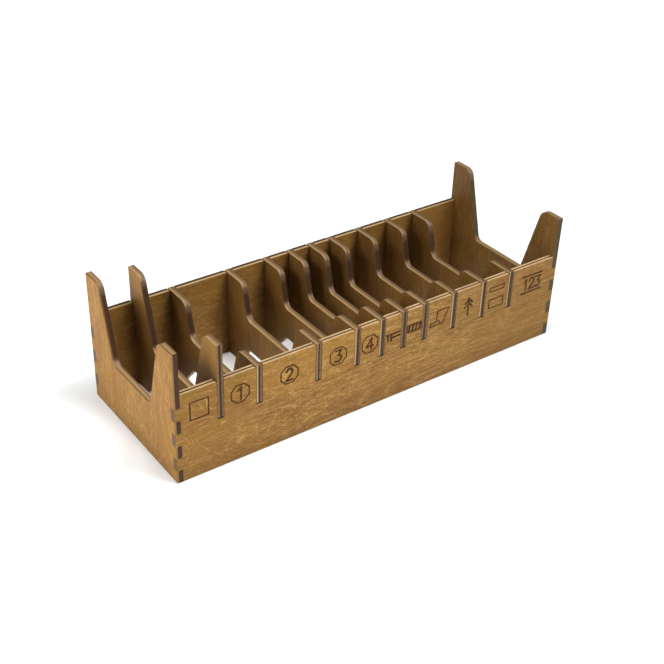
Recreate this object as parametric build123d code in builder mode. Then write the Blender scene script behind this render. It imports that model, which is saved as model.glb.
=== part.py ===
from build123d import *
import os
from math import atan2, degrees, radians, tan

# Compartment tray that drops into a game box, cut from one thickness of plywood.
# Two long walls run along X, two horned end walls close them along Y, and ten
# dividers drop from above into slots in the long walls. The tray has no floor.
#
# Frame: millimetres, +Z up, +X along the tray, the front wall towards -Y.
# The origin is the middle of the footprint, on the surface the tray stands on.

# ---- sheet and overall sizes
ply = 3.0  # thickness of every sheet
compartment_widths = [18.5, 17.0, 29.0, 19.0, 11.5, 10.0, 10.0, 15.0, 16.0, 15.0, 27.0]
tray_depth = 80.0
wall_height = 47.0

# ---- finger joints at the four corners
finger_count = 7  # odd: the end walls own the lowest and the highest finger

# ---- slots in the long walls, open at the top
slot_depth = 20.4
slot_clearance = 0.2  # each side of a divider in its slot
slot_lead_in = 0.8  # radius at each side of a slot's mouth
side_clearance = 0.1  # between a divider's body and each long wall

# ---- horns at the corners and the scoop between them
end_horn_rise = 21.5  # end wall horns above the long walls
tall_divider_rise = 18.2  # first divider's horns above the long walls
end_scoop_height = 29.9
divider_scoop_height = 28.2
end_horn_foot = 22.3  # from the outer face to the scoop's flat
divider_horn_foot = 21.1
horn_lean = 15.0  # degrees off upright
end_tip_radius = 4.5
tall_divider_tip_radius = 4.5
divider_tip_radius = 4.0
end_scoop_radius = 4.0
divider_scoop_radius = 4.0

# ---- relief between a divider's two feet
relief_height = 11.6
foot_base_width = 12.4  # from the outer face of the tray, on the table
foot_top_width = 22.8  # the same, at the top of the relief

# ---- marks engraved on the outside of the front wall
groove_depth = 0.3
fine_pen = 0.65
bold_pen = 1.0
mark_drop = 10.8  # middle of each mark below the wall's top
mark_size = 9.2
mark_margin = 0.5  # least bare wood between a mark and a slot
frame_corner = 2.6
numeral_height = 6.2
small_numeral_height = 6.0
small_numeral_pitch = 4.2
bar_length = 13.2
bar_spacing = 9.8
hatch_pitch = 2.0
hatch_height = 3.6

# ---- places worked out from the sizes above
compartment_count = len(compartment_widths)
inner_length = sum(compartment_widths) + ply * (compartment_count - 1)
tray_length = inner_length + 2 * ply
half_length = tray_length / 2
half_depth = tray_depth / 2
finger_height = wall_height / finger_count
slot_floor = wall_height - slot_depth
slot_width = ply + 2 * slot_clearance
mark_height = wall_height - mark_drop
end_top = wall_height + end_horn_rise
tall_divider_top = wall_height + tall_divider_rise

compartment_starts = [ply - half_length]
for width in compartment_widths[:-1]:
    compartment_starts.append(compartment_starts[-1] + width + ply)
compartment_centres = [start + width / 2 for start, width in zip(compartment_starts, compartment_widths)]
divider_centres = [start - ply / 2 for start in compartment_starts[1:]]

# Plain numerals drawn with straight pen runs, one unit high about their middle.
numerals = {
    1: [(-0.18, 0.28), (0.06, 0.5), (0.06, -0.5)],
    2: [(-0.26, 0.3), (-0.1, 0.5), (0.12, 0.5), (0.26, 0.3), (0.2, 0.06), (-0.28, -0.5), (0.28, -0.5)],
    3: [(-0.26, 0.5), (0.26, 0.5), (0.0, 0.1), (0.22, 0.0), (0.28, -0.24), (0.1, -0.5), (-0.26, -0.42)],
    4: [(0.14, -0.5), (0.14, 0.5), (-0.3, -0.2), (0.32, -0.2)],
}


def save(piece, name):
    """Name a finished piece and write its file."""
    piece.label = name
    export_step(piece, f"parts/{name}.step")


# ---- engraving -------------------------------------------------------------


def stroke(points, pen):
    """Square-ended groove along straight runs."""
    for start, end in zip(points, points[1:]):
        run = Vector(*end) - Vector(*start)
        with Locations((Vector(*start) + Vector(*end)) / 2):
            Rectangle(run.length + pen, pen, rotation=degrees(atan2(run.Y, run.X)))


def loop(points, pen):
    """The same groove, run back to where it starts."""
    stroke([*points, points[0]], pen)


def numeral(value, x, z, height):
    """One plain numeral about its own middle."""
    stroke([(x + height * u, z + height * v) for u, v in numerals[value]], bold_pen)


def box_outline(x, z, width, height, pen):
    """Rectangular outline about its own middle."""
    left, right = x - width / 2, x + width / 2
    low, high = z - height / 2, z + height / 2
    loop([(left, low), (right, low), (right, high), (left, high)], pen)


def numbered_frame(value, x, size):
    """Eight-sided outline with a numeral in it."""
    reach = size / 2
    flat = reach - frame_corner * size / mark_size
    corners = [(reach, flat), (flat, reach), (-flat, reach), (-reach, flat)]
    corners += [(-u, -v) for u, v in corners]
    loop([(x + u, mark_height + v) for u, v in corners], fine_pen)
    numeral(value, x, mark_height, numeral_height * size / mark_size)


def hatched_bar(x, size):
    """Long low outline filled with slanted strokes."""
    box_outline(x, mark_height, size, hatch_height, fine_pen)
    count = int(size / hatch_pitch)
    slant = hatch_pitch / 4
    low, high = mark_height - hatch_height / 2, mark_height + hatch_height / 2
    for index in range(count):
        middle = x - size / 2 + (index + 0.5) * size / count
        stroke([(middle - slant, low), (middle + slant, high)], bold_pen)


def legged_bar(x, size):
    """Bold bar over a short one, with two legs at its left."""
    left, right = x - size / 2, x + size / 2
    top = mark_height + hatch_height / 4
    stroke([(left, top), (right, top)], bold_pen)
    stroke([(x - size / 6, top - 2 * bold_pen), (right, top - 2 * bold_pen)], bold_pen)
    for leg in (left + bold_pen, left + 3 * bold_pen):
        stroke([(leg, top), (leg, top - hatch_height)], bold_pen)


def stepped_outline(x, size):
    """Six-sided outline with a step on its left, closed off as a low box."""
    low, step, high = mark_height - 0.4 * size, mark_height - 0.18 * size, mark_height + 0.46 * size
    points = [(x - 0.6 * size, low), (x + 0.26 * size, low), (x + 0.6 * size, high)]
    points += [(x - 0.14 * size, high), (x - 0.2 * size, step), (x - 0.6 * size, step)]
    loop(points, fine_pen)
    stroke([(x - 0.2 * size, step), (x, step), (x, low)], fine_pen)


def arrow(x, size):
    """Upright arrow with a double head."""
    foot, tip = mark_height - size / 2, mark_height + size / 2
    head = size / 4
    stroke([(x, foot), (x, tip)], bold_pen)
    for point in (tip, tip - head):
        stroke([(x - head, point - head), (x, point), (x + head, point - head)], bold_pen)


def two_boxes(x, size):
    """Low outline above a taller one."""
    box_outline(x, mark_height + 0.52 * size, size, 0.24 * size, fine_pen)
    box_outline(x, mark_height - 0.38 * size, size, 0.52 * size, fine_pen)


def numbers_between_bars(x):
    """Three small numerals with a bold bar above and below."""
    for side in (-1, 1):
        z = mark_height + side * bar_spacing / 2
        stroke([(x - bar_length / 2, z), (x + bar_length / 2, z)], bold_pen)
    for index, value in enumerate((1, 2, 3)):
        numeral(value, x + (index - 1) * small_numeral_pitch, mark_height, small_numeral_height)


def draw_marks():
    """One mark for each compartment, in the middle of its width."""
    centres = compartment_centres
    sizes = [min(mark_size, width - 2 * mark_margin) for width in compartment_widths]
    box_outline(centres[0], mark_height, sizes[0], sizes[0], fine_pen)
    for value in (1, 2, 3, 4):
        numbered_frame(value, centres[value], sizes[value])
    legged_bar(centres[5], sizes[5] - bold_pen)
    hatched_bar(centres[6], sizes[6] - fine_pen)
    stepped_outline(centres[7], sizes[7])
    arrow(centres[8], sizes[8])
    two_boxes(centres[9], sizes[9])
    numbers_between_bars(centres[10])


# ---- outlines of the sheets ------------------------------------------------


def draw_long_wall():
    """Long wall with a finger at each end of every second step and the open slots."""
    with Locations((0, wall_height / 2)):
        Rectangle(inner_length, wall_height)
    for step in range(1, finger_count, 2):
        with Locations((0, (step + 0.5) * finger_height)):
            Rectangle(tray_length, finger_height)
    with Locations(*[(centre, slot_floor + slot_depth / 2) for centre in divider_centres]):
        Rectangle(slot_width, slot_depth, mode=Mode.SUBTRACT)


def round_slot_mouths(outline):
    """Ease both top corners of every slot."""
    tops = outline.vertices().filter_by(lambda corner: abs(corner.Y - wall_height) < 0.001)
    mouths = tops.filter_by(lambda corner: abs(corner.X) < inner_length / 2 - 0.001)
    fillet(mouths, radius=slot_lead_in)


def draw_horned_sheet(top, scoop, horn_foot):
    """Upright sheet with a leaning horn at each side of a low flat scoop."""
    foot = half_depth - horn_foot
    tip = foot + (top - scoop) * tan(radians(horn_lean))
    right_edge = [(half_depth, 0), (half_depth, top), (tip, top), (foot, scoop)]
    left_edge = [(-y, z) for y, z in reversed(right_edge)]
    with BuildLine() as edge:
        Polyline(*right_edge, *left_edge, close=True)
    make_face(edge.edges())


def round_inner_corners(outline, height, radius):
    """Round the two corners of a horned sheet that lie at one height, inside its outer edges."""
    level = outline.vertices().filter_by(lambda corner: abs(corner.Y - height) < 0.001)
    fillet(level.filter_by(lambda corner: abs(corner.X) < half_depth - 0.001), radius=radius)


def cut_wall_fingers():
    """Room in an end wall for the long walls' fingers, on both sides."""
    for step in range(1, finger_count, 2):
        for side in (-1, 1):
            with Locations((side * (half_depth - ply / 2), (step + 0.5) * finger_height)):
                Rectangle(ply, finger_height, mode=Mode.SUBTRACT)


def cut_below_ears():
    """Narrow a divider under its ears, so that it passes between the long walls."""
    width = ply + side_clearance
    for side in (-1, 1):
        with Locations((side * (half_depth - width / 2), slot_floor / 2)):
            Rectangle(width, slot_floor, mode=Mode.SUBTRACT)


def cut_foot_relief():
    """Leave two feet under a divider, with a sloping side to each."""
    base = half_depth - foot_base_width
    roof = half_depth - foot_top_width
    with BuildLine() as edge:
        Polyline((-base, 0), (base, 0), (roof, relief_height), (-roof, relief_height), close=True)
    make_face(edge.edges(), mode=Mode.SUBTRACT)


# ---- the sheets ------------------------------------------------------------

os.makedirs("parts", exist_ok=True)

front_face = Plane.XZ.offset(half_depth)
back_face = Plane.XZ.offset(-half_depth)

with BuildPart() as front_wall:
    with BuildSketch(front_face) as front_outline:
        draw_long_wall()
        round_slot_mouths(front_outline)
    extrude(amount=-ply)
    with BuildSketch(front_face):
        draw_marks()
    extrude(amount=-groove_depth, mode=Mode.SUBTRACT)
save(front_wall.part, "front_wall")

with BuildPart() as back_wall:
    with BuildSketch(back_face) as back_outline:
        draw_long_wall()
        round_slot_mouths(back_outline)
    extrude(amount=ply)
save(back_wall.part, "back_wall")

end_places = {"left_end_wall": -half_length, "right_end_wall": half_length - ply}
for name, place in end_places.items():
    with BuildPart() as end_wall:
        with BuildSketch(Plane.YZ.offset(place)) as end_outline:
            draw_horned_sheet(end_top, end_scoop_height, end_horn_foot)
            round_inner_corners(end_outline, end_top, end_tip_radius)
            round_inner_corners(end_outline, end_scoop_height, end_scoop_radius)
            cut_wall_fingers()
        extrude(amount=ply)
    save(end_wall.part, name)

for number, centre in enumerate(divider_centres, start=1):
    tall = number == 1
    top = tall_divider_top if tall else wall_height
    with BuildPart() as divider:
        with BuildSketch(Plane.YZ.offset(centre - ply / 2)) as divider_outline:
            draw_horned_sheet(top, divider_scoop_height, divider_horn_foot)
            round_inner_corners(divider_outline, top, tall_divider_tip_radius if tall else divider_tip_radius)
            round_inner_corners(divider_outline, divider_scoop_height, divider_scoop_radius)
            cut_below_ears()
            cut_foot_relief()
        extrude(amount=ply)
    save(divider.part, f"divider_{number:02d}")
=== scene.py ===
import math
from typing import NamedTuple

import bmesh
import bpy
from mathutils import Euler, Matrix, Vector


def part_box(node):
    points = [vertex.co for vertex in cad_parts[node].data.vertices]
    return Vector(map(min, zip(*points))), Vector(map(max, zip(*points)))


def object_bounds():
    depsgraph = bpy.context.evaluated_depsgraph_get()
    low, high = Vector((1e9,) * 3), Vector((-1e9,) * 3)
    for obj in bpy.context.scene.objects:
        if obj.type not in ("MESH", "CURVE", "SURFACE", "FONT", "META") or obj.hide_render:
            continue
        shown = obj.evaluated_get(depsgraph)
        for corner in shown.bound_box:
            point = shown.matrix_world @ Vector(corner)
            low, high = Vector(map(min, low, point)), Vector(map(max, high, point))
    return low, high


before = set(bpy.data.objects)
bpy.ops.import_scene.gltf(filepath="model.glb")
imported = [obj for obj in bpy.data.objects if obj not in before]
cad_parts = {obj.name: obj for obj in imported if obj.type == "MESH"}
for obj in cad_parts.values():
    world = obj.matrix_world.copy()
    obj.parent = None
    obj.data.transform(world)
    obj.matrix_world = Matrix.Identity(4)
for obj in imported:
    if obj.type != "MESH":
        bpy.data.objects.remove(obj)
cad_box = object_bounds()

# Axes of the row frame.
LENGTH, DEPTH, HEIGHT = 0, 1, 2
MILLIMETRES = 1000.0

# How far the walls' inner faces are from the tray's middle, in metres.
INNER_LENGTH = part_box("right_end_wall")[0].x
INNER_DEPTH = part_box("back_wall")[0].y

# Colours of the stained sheet and of its laser-cut edges, as a paint chart gives them, 0 to 255.
GOLDEN_STAIN = (148, 106, 42)
RED_STAIN = (142, 98, 44)
OLIVE_STAIN = (136, 102, 38)
PALE_FLECK = (210, 166, 98)
DARK_FLECK = (98, 66, 26)
PORE_AND_SHADE_BROWN = (74, 47, 21)
PALE_STAIN_AND_LIGHT = (168, 126, 66)
SHEEN_GOLD = (176, 126, 54)
DULL_STAIN_AND_SHADE = (70, 51, 27)
SHADE_BROWN = (52, 36, 22)
PALE_CUT = (166, 136, 94)
BRIGHT_CUT = (200, 172, 130)
TAN_CUT = (132, 107, 74)
LIGHT_CORE = (158, 126, 84)
ROSY_HIGHLIGHT = (132, 105, 84)
SINGED_AND_SHADE_CUT = (84, 64, 48)
SLOPE_CUT = (70, 52, 36)
MOSSY_CUT = (86, 76, 48)
END_GRAIN_CUT = (124, 99, 67)
DARK_CUT = (68, 41, 29)
TOP_DARK_CUT = (70, 44, 26)
GLUE_LINE = (46, 29, 20)
SOOT = (58, 38, 26)
SHADOW_DARK = (30, 19, 13)
ENGRAVED = (102, 64, 26)
CHARRED_MARK = (66, 40, 17)
FLOOR_WHITE = (240, 244, 246)
FLOOR_GREY = (225, 224, 222)
NO_GLOW = (0, 0, 0)
WHITE_GLOW = (255, 255, 255)
WARM_GLOW = (255, 240, 234)


class Layup(NamedTuple):
    """How one sheet's plies and stain came out."""

    core: float  # half width of the core, as a share of the sheet's half thickness
    shift: float  # how far the core lies towards the tray's middle, in the same shares
    liveliness: float  # strength of the face's figure
    # dullness is partly stain, partly painted shade on the sheets inside the tray and painted light on the
    # tall divider
    dullness: float  # how much duller than the common stain, or lighter where below 0
    moss: float  # strength of a greenish tint on the cut edges


DIVIDER_LAYUP = Layup(0.44, 0.08, 0.45, 0.38, 0.05)
LAYUPS = {
    "front_wall": Layup(0.3, 0.0, 1.0, 0.0, 0.0),
    "back_wall": Layup(0.6, -0.42, 1.0, -0.3, 0.5),
    "left_end_wall": Layup(0.74, 0.26, 0.6, 0.0, 0.1),
    "right_end_wall": Layup(0.92, -0.08, 0.6, 0.55, 0.7),
    "divider_01": Layup(0.4, 0.0, 0.5, -0.45, 0.05),
    "divider_02": DIVIDER_LAYUP._replace(core=0.34, shift=0.0, moss=0.0),
    "divider_03": DIVIDER_LAYUP._replace(core=0.3, shift=0.05, moss=0.0),
    "divider_05": DIVIDER_LAYUP._replace(core=0.5, shift=0.1, moss=0.25),
    "divider_06": DIVIDER_LAYUP._replace(core=0.45, shift=-0.1, moss=0.25),
    "divider_08": DIVIDER_LAYUP._replace(core=0.52, shift=-0.15, moss=0.15),
    "divider_09": DIVIDER_LAYUP._replace(core=0.5, shift=-0.15, moss=0.0),
    "divider_10": DIVIDER_LAYUP._replace(core=0.6, shift=-0.1, moss=0.3),
}
# Dividers whose ends came out of the laser with a clean ply, with no painted gap shadow on their left.
CLEAN_CUT = ("divider_02", "divider_04", "divider_05", "divider_08", "divider_09", "divider_10")

# Heights of the slots' floor and of the two kinds of scoop, in mm.
SLOT_FLOOR = 26.6
END_SCOOP = 29.9
DIVIDER_SCOOP = 28.2

# How far past a long wall's inner face the painted shadow on a divider's end starts, in mm.
SHADOW_INSET = 0.05

# Layers of the face figure: cycles a millimetre along and across the grain, the noise level where a layer
# starts and where it is full, its strength and its colour.
FIGURE = (
    ((0.07, 0.2), 0.5, 0.75, 0.20, PALE_FLECK),
    ((0.08, 0.24), 0.5, 0.25, 0.35, DARK_FLECK),
    ((0.05, 0.4), 0.5, 0.8, 0.18, PALE_FLECK),
    ((0.04, 1.1), 0.5, 0.8, 0.20, PALE_FLECK),
    ((0.05, 1.2), 0.5, 0.2, 0.30, DARK_FLECK),
    ((0.20, 1.1), 0.44, 0.26, 0.35, DARK_FLECK),
    ((0.36, 1.9), 0.45, 0.28, 0.50, DARK_FLECK),
    ((0.02, 2.4), 0.62, 0.72, 0.55, PALE_FLECK),
    ((0.24, 1.8), 0.55, 0.68, 0.55, PALE_FLECK),
    ((0.50, 3.0), 0.57, 0.70, 0.85, PALE_FLECK),
    ((0.60, 5.0), 0.64, 0.74, 0.50, PORE_AND_SHADE_BROWN),
)

# Contour lines of the grain, and tighter curls of it, over the whole range of a noise field.
GRAIN_RINGS = 110.0
GRAIN_CURLS = 75.0

# Which way the face grain of each sheet runs, where it isn't upright.
GRAIN = {"front_wall": LENGTH, "back_wall": LENGTH}

# How far one sheet's figure is moved from the next one's in the same veneer, along and through it, in mm.
NEXT_ALONG = 37.0
NEXT_THROUGH = 11.0

# Where the band of engraved marks starts and ends, as shares of the front wall's height.
MARKS_FROM = 0.62
MARKS_TO = 0.92

# How far the arrises are rubbed round, and how deep the wood's relief is, in metres.
ARRIS_RADIUS = 0.00035
RELIEF_DEPTH = 0.0001

# Half size of the floor, its gap under the tray, and how far its painted warm glow keeps from the walls, in
# metres.
FLOOR_REACH = 1.4
FLOOR_GAP = 0.0002
GLOW_INSET = 0.001

# How far from its middle the floor starts to turn white, and from where it is plain white, in metres.
WHITE_FROM = 0.45
WHITE_FULL = 0.85

# The point that the softboxes are turned to, in metres.
LIT_POINT = (0.0, 0.0, 0.03)


def linear(colour):
    """A chart colour as the linear red, green, blue and alpha that a shader takes."""
    parts = [c / 255.0 for c in colour]
    return tuple(p / 12.92 if p <= 0.04045 else ((p + 0.055) / 1.055) ** 2.4 for p in parts) + (1.0,)


class Wire:
    """One output of a node, with arithmetic written as Python."""

    def __init__(self, board, socket):
        self.board = board
        self.socket = socket

    def _math(self, operation, *values):
        """One Math node on these values, in this order."""
        return self.board.node("ShaderNodeMath", {"operation": operation}, dict(enumerate(values)))

    def __add__(self, other):
        return self._math("ADD", self, other)

    def __radd__(self, other):
        return self._math("ADD", other, self)

    def __sub__(self, other):
        return self._math("SUBTRACT", self, other)

    def __rsub__(self, other):
        return self._math("SUBTRACT", other, self)

    def __mul__(self, other):
        return self._math("MULTIPLY", self, other)

    def __rmul__(self, other):
        return self._math("MULTIPLY", other, self)

    def __pow__(self, other):
        return self._math("POWER", self, other)

    def __gt__(self, other):
        return self._math("GREATER_THAN", self, other)

    def __lt__(self, other):
        return self._math("LESS_THAN", self, other)

    def __abs__(self):
        return self._math("ABSOLUTE", self)

    def sine(self):
        """The sine of this, in radians."""
        return self._math("SINE", self)

    def ramp(self, start, end):
        """0 where this is at start, 1 where it is at end, and smooth between."""
        settings = {"interpolation_type": "SMOOTHSTEP"}
        sockets = {"Value": self, "From Min": start, "From Max": end}
        return self.board.node("ShaderNodeMapRange", settings, sockets)


class Board:
    """The nodes of a material or world. node() makes any of them: its settings first, then its sockets."""

    def __init__(self, owner, shader="Principled BSDF"):
        owner.use_nodes = True
        self.owner = owner
        self.tree = owner.node_tree
        self.shader = self.tree.nodes[shader]

    def feed(self, socket, value):
        """Link a wire to a socket, or set the socket to a plain value."""
        if isinstance(value, Wire):
            self.tree.links.new(value.socket, socket)
        else:
            socket.default_value = value

    def node(self, kind, settings=None, sockets=None, output=0):
        """Any node, given as its one output that is wanted."""
        made = self.tree.nodes.new(kind)
        for name, value in (settings or {}).items():
            setattr(made, name, value)
        for name, value in (sockets or {}).items():
            self.feed(made.inputs[name], value)
        return Wire(self, made.outputs[output])

    def mix(self, factor, first, second, blend="MIX"):
        """first where factor is 0, second where it is 1, as colours."""
        settings = {"data_type": "RGBA", "blend_type": blend}
        return self.node("ShaderNodeMix", settings, {0: factor, 6: first, 7: second}, 2)

    def split(self, vector):
        """A vector's three parts."""
        made = self.node("ShaderNodeSeparateXYZ", None, {0: vector}).socket.node
        return [Wire(self, output) for output in made.outputs]

    def join(self, x, y, z):
        """A vector made of three parts."""
        return self.node("ShaderNodeCombineXYZ", None, {0: x, 1: y, 2: z})

    def stretch(self, vector, factors):
        """A vector with each part scaled by its own factor."""
        return self.node("ShaderNodeVectorMath", {"operation": "MULTIPLY"}, {0: vector, 1: factors})

    def noise(self, vector, factors, detail=2.0, roughness=0.5, distortion=0.0, shift=0.0):
        """Noise from 0 to 1 at these cycles a millimetre along, across and through the sheet."""
        settings = {"operation": "MULTIPLY_ADD"}
        spread = self.node("ShaderNodeVectorMath", settings, {0: vector, 1: factors, 2: (shift,) * 3})
        sockets = {"Vector": spread, "Scale": 1.0, "Detail": detail}
        sockets |= {"Roughness": roughness, "Distortion": distortion}
        return self.node("ShaderNodeTexNoise", None, sockets)

    def finish(self, **sockets):
        """Feed the shader's own sockets, and give back what the nodes belong to."""
        for name, value in sockets.items():
            self.feed(self.shader.inputs[name.replace("_", " ")], value)
        return self.owner


class Sheet:
    """One sheet of the tray: how it lies, how its plies came out, and the wires its finish is made from."""

    def __init__(self, name, number):
        low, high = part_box(name)
        size = high - low
        self.name = name
        self.number = number
        self.layup = LAYUPS.get(name, DIVIDER_LAYUP)
        self.through = min(range(3), key=lambda axis: size[axis])
        self.grain = GRAIN.get(name, HEIGHT)
        self.across = 3 - self.through - self.grain
        self.tip = high[HEIGHT] * MILLIMETRES
        self.middle = (low[self.through] + high[self.through]) / 2 * MILLIMETRES
        half = size[self.through] / 2 * MILLIMETRES

        self.board = Board(bpy.data.materials.new("stained_plywood_" + name))
        held = self.board.node("ShaderNodeTexCoord", None, None, "Object")
        self.place = self.board.split(self.board.stretch(held, (MILLIMETRES,) * 3))
        self.normal = self.board.split(self.board.node("ShaderNodeTexCoord", None, None, "Normal"))
        self.is_face = abs(self.normal[self.through]) > 0.5
        inward = -1.0 if self.middle > 0 else 1.0
        self.depth = (self.place[self.through] - self.middle) * (inward / half)
        self.spot = self.spot_in_veneer()

    def spot_in_veneer(self):
        """A place in the log this sheet was peeled from: along its grain, across it and through the sheet."""
        along = self.place[self.grain]
        if self.grain == LENGTH:
            along = along * (0.9 - 0.0013 * along)
        shift = NEXT_ALONG * self.number
        through = self.place[self.through] + NEXT_THROUGH * self.number
        return self.board.join(along + shift, self.place[self.across] - shift, through)

    def upward(self):
        """1 on the edges that face up."""
        return self.normal[HEIGHT].ramp(0.5, 0.9)

    def aside(self):
        """How far a place lies to the right of a divider's middle, in mm."""
        return self.place[LENGTH] - self.middle


def stained_plywood(name, number):
    """Three-ply birch, stained brown: figured faces, engraving, and scorched edges that show the plies."""
    sheet = Sheet(name, number)
    board = sheet.board
    face, relief = stained_face(sheet)
    colour = board.mix(sheet.is_face, cut_edges(sheet), face)
    rounded, arris = rounded_arris(board)
    colour = board.mix(0.3 * arris * sheet.is_face, colour, linear(PORE_AND_SHADE_BROWN))
    # Painted shade: every sheet darker towards its foot.
    colour = board.mix(0.3 * sheet.place[HEIGHT].ramp(14.0, -2.0), colour, linear(PORE_AND_SHADE_BROWN))
    # Painted shade on the inner faces, low down and towards the back.
    colour = painted_shade(sheet, colour)
    if name == "front_wall":
        # Painted light on the front wall's upper middle.
        colour = painted_sheen(sheet, colour)
        colour = engraved_marks(sheet, colour)
    fibre = board.noise(sheet.spot, (0.4, 3.0, 3.0), 3.0, 0.6)
    sockets = {"Strength": 0.4, "Distance": RELIEF_DEPTH, "Height": relief, "Normal": rounded}
    bump = board.node("ShaderNodeBump", None, sockets)
    gloss = 0.44 + 0.2 * fibre
    return board.finish(Base_Color=colour, Roughness=gloss, Specular_IOR_Level=0.16, Normal=bump)


def stained_face(sheet):
    """The stained face of a sheet, and the relief of its pores. A long wall is calmer towards its ends."""
    board = sheet.board
    liveliness = sheet.layup.liveliness
    if sheet.grain == LENGTH:
        left_end = sheet.place[LENGTH].ramp(-50.0, -95.0)
        calm = 1.0 - 0.5 * left_end - 0.2 * sheet.place[LENGTH].ramp(40.0, 95.0)
        colour, relief = face_figure(board, sheet.spot, liveliness * calm)
        colour = swirls(board, sheet.spot, colour, left_end)
        colour = board.mix(0.35 * sheet.place[LENGTH].ramp(20.0, 90.0), colour, linear(RED_STAIN))
    else:
        colour, relief = face_figure(board, sheet.spot, liveliness)
    # Per-sheet tone: partly stain, partly painted shade on the inner sheets and painted light on the tall
    # divider.
    dullness = sheet.layup.dullness
    tone = DULL_STAIN_AND_SHADE if dullness > 0 else PALE_STAIN_AND_LIGHT
    return board.mix(abs(dullness), colour, linear(tone)), relief


def cut_edges(sheet):
    """A sheet's cut edges: the bare plies, then what sets this kind of sheet apart."""
    layup = sheet.layup
    core = abs(sheet.depth - layup.shift).ramp(layup.core + 0.05, layup.core - 0.05)
    colour = bare_plies(sheet, core)
    if sheet.grain == LENGTH:
        colour = long_wall_edges(sheet, colour, core)
    if "end_wall" in sheet.name:
        colour = end_wall_edges(sheet, colour, core)
    mossy = layup.moss * (1.0 - 0.6 * sheet.upward())
    colour = sheet.board.mix(mossy, colour, linear(MOSSY_CUT))
    if sheet.grain == HEIGHT:
        colour = slope_ends(sheet, colour)
    if "divider" in sheet.name:
        colour = top_edges(sheet, colour)
        colour = slot_ends(sheet, colour)
    return colour


def long_wall_edges(sheet, colour, core):
    """A long wall's outer plies carry a painted highlight on top, and its fingers' ends are singed."""
    board = sheet.board
    # Painted highlight along the upward outer plies, patchy along the wall.
    top_highlight = sheet.upward() * (1.0 - core)
    top_highlight = top_highlight * (0.3 + 0.5 * board.noise(sheet.spot, (0.06, 0.0, 0.0), 2.0).ramp(0.35, 0.65))
    colour = board.mix(top_highlight, colour, linear(BRIGHT_CUT))
    return board.mix(0.7 * abs(sheet.normal[LENGTH]), colour, linear(SINGED_AND_SHADE_CUT))


def end_wall_edges(sheet, colour, core):
    """An end wall's outer plies are golden at the front and back, and singed on top of the horns."""
    board = sheet.board
    colour = board.mix(0.6 * abs(sheet.normal[DEPTH]) * (1.0 - core), colour, linear(GOLDEN_STAIN))
    top = board.mix(abs(sheet.depth).ramp(0.62, 0.42), linear(SINGED_AND_SHADE_CUT), linear(LIGHT_CORE))
    return board.mix(0.55 * sheet.normal[HEIGHT].ramp(0.9, 1.0), colour, top)


def painted_shade(sheet, colour):
    """Painted shade on the inner faces: low on the tall divider, at the back of the others, in the back
    wall's corners.
    """
    place = sheet.place
    if sheet.name == "divider_01":
        shade_amount = 0.6 * place[HEIGHT].ramp(60.0, 40.0)
    elif "divider" in sheet.name:
        shade_amount = 0.3 * place[DEPTH].ramp(-2.0, 14.0)
    elif sheet.name == "back_wall":
        shade_amount = 0.62 * corner_shade(place) * (sheet.depth > 0.0)
    else:
        return colour
    return sheet.board.mix(shade_amount * sheet.is_face, colour, linear(SHADE_BROWN))


def corner_shade(place):
    """Painted shade on the back wall, in the corner at the left of each divider."""
    shade_sum = 0.0
    for name in sorted(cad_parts):
        if "divider" in name:
            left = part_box(name)[0].x * MILLIMETRES
            shade_sum = shade_sum + place[LENGTH].ramp(left - 10.0, left) * (place[LENGTH] < left + 1.0)
    return shade_sum ** 2.0


def painted_sheen(sheet, colour):
    """Painted light: a golden sheen added to the front wall's faces, left of its middle and high up."""
    sheen_area = abs(sheet.place[LENGTH] + 30.0).ramp(55.0, 15.0) * sheet.place[HEIGHT].ramp(16.0, 42.0)
    return sheet.board.mix(0.17 * sheen_area * sheet.is_face, colour, linear(SHEEN_GOLD), "ADD")


def engraved_marks(sheet, colour):
    """Burnt wood on the floors and sides of the grooves in the front wall, unevenly charred."""
    board = sheet.board
    height = sheet.place[HEIGHT]
    in_band = (height > sheet.tip * MARKS_FROM) * (height < sheet.tip * MARKS_TO)
    floors = (abs(sheet.depth) < 0.93) * sheet.is_face
    sides = (sheet.depth < -0.78) * (1.0 - sheet.is_face) * in_band
    scorch = board.noise(sheet.spot, (0.6, 0.6, 0.6), 2.0).ramp(0.38, 0.62)
    burn = board.mix(scorch, linear(ENGRAVED), linear(CHARRED_MARK))
    return board.mix(floors + sides, colour, burn)


def rounded_arris(board):
    """The direction of a surface with its arrises rubbed round, and a mask of 1 along them."""
    rounded = board.node("ShaderNodeBevel", {"samples": 6}, {"Radius": ARRIS_RADIUS})
    flat = board.node("ShaderNodeNewGeometry", None, None, "True Normal")
    facing = board.node("ShaderNodeVectorMath", {"operation": "DOT_PRODUCT"}, {0: rounded, 1: flat}, "Value")
    return rounded, facing.ramp(0.99, 0.8)


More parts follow.
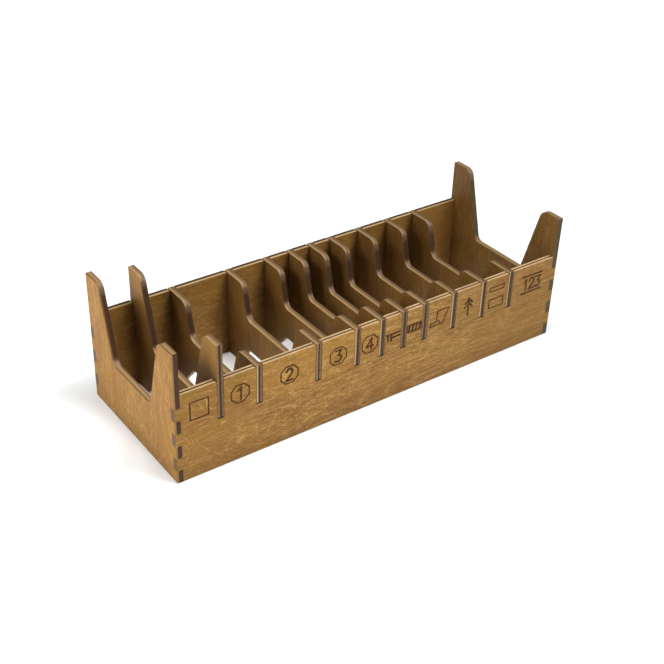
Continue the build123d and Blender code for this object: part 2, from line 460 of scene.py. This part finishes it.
def face_figure(board, spot, liveliness):
    """The stained face: patches of colour, contour-line figure, mottling, short flecks and open pores."""
    patches = board.noise(spot, (0.03, 0.09, 0.09), 3.0, 0.55)
    warmth = board.noise(spot, (0.02, 0.05, 0.3), 2.0)
    colour = board.mix(patches.ramp(0.35, 0.65), linear(GOLDEN_STAIN), linear(RED_STAIN))
    colour = board.mix(warmth.ramp(0.5, 0.75), colour, linear(OLIVE_STAIN))

    broken = board.noise(spot, (0.55, 2.1, 2.1), 2.5, 0.6)
    field = board.noise(spot, (0.009, 0.05, 0.05), 1.5, 0.4, 0.15, 9.0)
    rings = (field * GRAIN_RINGS).sine()
    dark_rings = 0.4 * rings.ramp(-0.5, -1.0) * broken.ramp(0.6, 0.35)
    pale_rings = 0.55 * rings.ramp(0.7, 1.0) * broken.ramp(0.4, 0.62)
    colour = board.mix(dark_rings * liveliness, colour, linear(DARK_FLECK))
    colour = board.mix(pale_rings * liveliness, colour, linear(PALE_FLECK))

    lively = 0.5 + 0.65 * board.noise(spot, (0.016, 0.04, 0.04), 2.0).ramp(0.36, 0.56)
    lively = lively * liveliness
    for number, ((along, across), start, end, strength, tint) in enumerate(FIGURE):
        layer = board.noise(spot, (along, across, across), 2.5, 0.6, 0.0, 13.0 * number)
        colour = board.mix(layer.ramp(start, end) * lively * strength, colour, linear(tint))
    pores = layer.ramp(0.74, 0.6)  # the last layer holds the pores, which are sunk
    return colour, pores + 0.3 * broken


def swirls(board, spot, colour, strength):
    """Short pale arcs, where the sheet was peeled through a curl in the grain."""
    field = board.noise(spot, (0.028, 0.045, 0.045), 1.5, 0.4, 0.6, 21.0)
    arcs = (field * GRAIN_CURLS).sine().ramp(0.86, 1.0)
    broken = board.noise(spot, (0.12, 0.2, 0.2), 2.0).ramp(0.47, 0.6)
    return board.mix(0.45 * strength * arcs * broken, colour, linear(PALE_FLECK))


def bare_plies(sheet, core):
    """A laser-cut edge: each ply is dark where its end grain shows and pale where it was cut along its grain.
    The core's grain runs across the outer plies' grain. Steep slopes are singed, and their rounded corners
    get a painted rosy highlight."""
    board = sheet.board
    upward = sheet.normal[HEIGHT]
    is_top = upward.ramp(0.55, 0.97)
    is_slope = upward.ramp(0.1, 0.24) * upward.ramp(0.5, 0.3)
    is_corner = upward.ramp(0.4, 0.85) * upward.ramp(0.99, 0.9)
    core_end_grain = board.mix(is_top, linear(DARK_CUT), linear(TOP_DARK_CUT))
    core_on_end = abs(sheet.normal[sheet.across]).ramp(0.7, 0.95)
    core_colour = board.mix(core_on_end, linear(TAN_CUT), core_end_grain)
    outer_on_end = abs(sheet.normal[sheet.grain]).ramp(0.35, 0.9)
    outer_colour = board.mix(outer_on_end, linear(PALE_CUT), linear(END_GRAIN_CUT))
    outer_colour = board.mix(is_slope, outer_colour, linear(SLOPE_CUT))
    colour = board.mix(core, outer_colour, core_colour)
    # Painted highlight: rosy on the rounded corners.
    colour = board.mix(0.8 * is_corner, colour, linear(ROSY_HIGHLIGHT))
    glue = core * (1.0 - core) * 4.0 * (1.0 - is_top) * (1.0 - is_corner)
    colour = board.mix(0.5 * glue, colour, linear(GLUE_LINE))
    soot = board.noise(sheet.spot, (1.2, 1.2, 0.25), 3.0, 0.65)
    return board.mix((0.5 - 0.3 * is_top) * soot.ramp(0.45, 0.75), colour, linear(SOOT))


def slope_ends(sheet, colour):
    """The burnt slope of a horn fades into the painted rosy highlight near its tip and near its foot."""
    height = sheet.place[HEIGHT]
    upward = sheet.normal[HEIGHT]
    foot = END_SCOOP if "end_wall" in sheet.name else DIVIDER_SCOOP
    ends = height.ramp(sheet.tip - 7.0, sheet.tip - 3.5) + height.ramp(foot + 4.5, foot + 1.0)
    slope = upward.ramp(0.1, 0.24) * upward.ramp(0.9, 0.5)
    return sheet.board.mix(0.5 * ends * slope, colour, linear(ROSY_HIGHLIGHT))


def top_edges(sheet, colour):
    """A divider's upper edges: a painted highlight along the left arris, painted shade along the right,
    darker on dividers further right.
    """
    board = sheet.board
    aside = sheet.aside()
    # Painted highlight on the left arris, then painted shade on the right arris.
    colour = board.mix(sheet.upward() * aside.ramp(0.1, -0.9) * 0.8, colour, linear(PALE_CUT))
    edge_shade = 0.03 * sheet.number + 0.4 * aside.ramp(-0.3, 0.8)
    return board.mix(sheet.upward() * edge_shade, colour, linear(SINGED_AND_SHADE_CUT))


def slot_ends(sheet, colour):
    """The ends a divider shows in the slots: painted gap shadow along their sides, and painted shadow at the
    slot's floor.
    """
    board = sheet.board
    is_clean = sheet.name in CLEAN_CUT
    is_end = abs(sheet.normal[DEPTH]).ramp(0.97, 0.99)
    aside = sheet.aside()
    # Painted gap shadow: on the right side of every end, and on the left of most.
    left_gap_shadow = 0.0 if is_clean else 0.4
    gap_shadow = 0.55 * aside.ramp(0.3, 0.8) + left_gap_shadow * aside.ramp(-0.3, -0.8)
    colour = board.mix(is_end * gap_shadow, colour, linear(DARK_CUT))
    if is_clean:
        colour = board.mix(0.6 * is_end * aside.ramp(-0.7, -1.0), colour, linear(BRIGHT_CUT))
    # Painted shadow where the end meets the slot's floor.
    in_slot = abs(sheet.place[DEPTH]) > INNER_DEPTH * MILLIMETRES + SHADOW_INSET
    slot_shadow = in_slot * sheet.place[HEIGHT].ramp(SLOT_FLOOR + 1.2, SLOT_FLOOR + 0.3)
    return board.mix(slot_shadow, colour, linear(SHADOW_DARK))


def table_top():
    """A wide pale floor with a trace of mottling."""
    plane = bmesh.new()
    bmesh.ops.create_grid(plane, x_segments=1, y_segments=1, size=FLOOR_REACH)
    mesh = bpy.data.meshes.new("floor")
    plane.to_mesh(mesh)
    plane.free()
    mesh.materials.append(pale_paint())
    floor = bpy.data.objects.new("floor", mesh)
    bpy.context.scene.collection.objects.link(floor)
    floor.location.z = cad_box[0].z - FLOOR_GAP


def pale_paint():
    """The floor's paint, with a glow that keeps it white far off, and painted light: a warm glow on the floor
    between the sheets.
    """
    board = Board(bpy.data.materials.new("pale_floor"))
    held = board.node("ShaderNodeTexCoord", None, None, "Object")
    mottle = board.noise(held, (6.0, 6.0, 6.0), 2.0)
    colour = board.mix(0.04 * mottle, linear(FLOOR_WHITE), linear(FLOOR_GREY))
    across, deep, _ = board.split(held)
    inside = (abs(across) < INNER_LENGTH - GLOW_INSET) * (abs(deep) < INNER_DEPTH - GLOW_INSET)
    distance = board.node("ShaderNodeVectorMath", {"operation": "LENGTH"}, {0: held}, "Value")
    glow = board.mix(distance.ramp(WHITE_FROM, WHITE_FULL), linear(NO_GLOW), linear(WHITE_GLOW))
    # Painted light: the floor between the sheets glows warm.
    glow = board.mix(inside, glow, linear(WARM_GLOW))
    return board.finish(Base_Color=colour, Roughness=0.8, Emission_Color=glow, Emission_Strength=0.23)


def soft_light(name, place, size, power, colour=(1.0, 1.0, 1.0)):
    """A square softbox at place, turned to the middle of the tray and unseen by the camera."""
    lamp = bpy.data.lights.new(name, "AREA")
    lamp.size = size
    lamp.energy = power
    lamp.color = colour
    box = bpy.data.objects.new(name, lamp)
    bpy.context.scene.collection.objects.link(box)
    box.location = place
    aim = Vector(LIT_POINT) - Vector(place)
    box.rotation_euler = aim.to_track_quat("-Z", "Y").to_euler()
    box.visible_camera = False


def studio():
    """Softboxes over a bright table, two keys at the left, low fills at the left and front, white behind."""
    sky = Board(bpy.data.worlds.new("studio"), "Background")
    seen = sky.node("ShaderNodeLightPath", None, None, "Is Camera Ray")
    bpy.context.scene.world = sky.finish(Color=(1.0, 1.0, 1.0, 1.0), Strength=seen)
    soft_light("top_softbox", (0.0, 0.0, 3.3), 1.05, 46.0)
    soft_light("right_front_softbox", (1.2, -1.2, 3.0), 1.5, 95.0)
    soft_light("left_softbox", (-1.5, 0.0, 3.0), 1.5, 9.0)
    soft_light("left_back_key", (-1.5, 0.5, 1.2), 0.45, 7.9)
    soft_light("left_front_key", (-1.5, -0.5, 1.2), 0.45, 7.6)
    soft_light("left_fill", (-0.42, -0.05, 0.14), 0.24, 0.58, (1.0, 0.94, 0.82))
    soft_light("front_fill", (0.0, -0.8, 0.3), 0.5, 0.5)
    bpy.context.scene.view_settings.view_transform = "Standard"


def camera():
    """A long lens at the front left, looking down on the tray."""
    lens = bpy.data.cameras.new("camera")
    lens.sensor_width = 36.0
    lens.lens = 63.82373
    lens.shift_x = 0.035
    lens.clip_start = 0.01
    lens.clip_end = 20.0
    eye = bpy.data.objects.new("camera", lens)
    eye.location = (-0.29610, -0.39789, 0.34109)
    turn = [math.radians(a) for a in (56.9052, -1.02644, -34.60636)]
    eye.rotation_euler = Euler(turn, "XYZ")
    bpy.context.scene.collection.objects.link(eye)
    bpy.context.scene.camera = eye


def finish_sheets():
    """Every sheet keeps its CAD shape and gets a stained finish with its own grain."""
    for number, name in enumerate(sorted(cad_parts), 1):
        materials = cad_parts[name].data.materials
        materials.clear()
        materials.append(stained_plywood(name, number))


finish_sheets()
table_top()
studio()
camera()
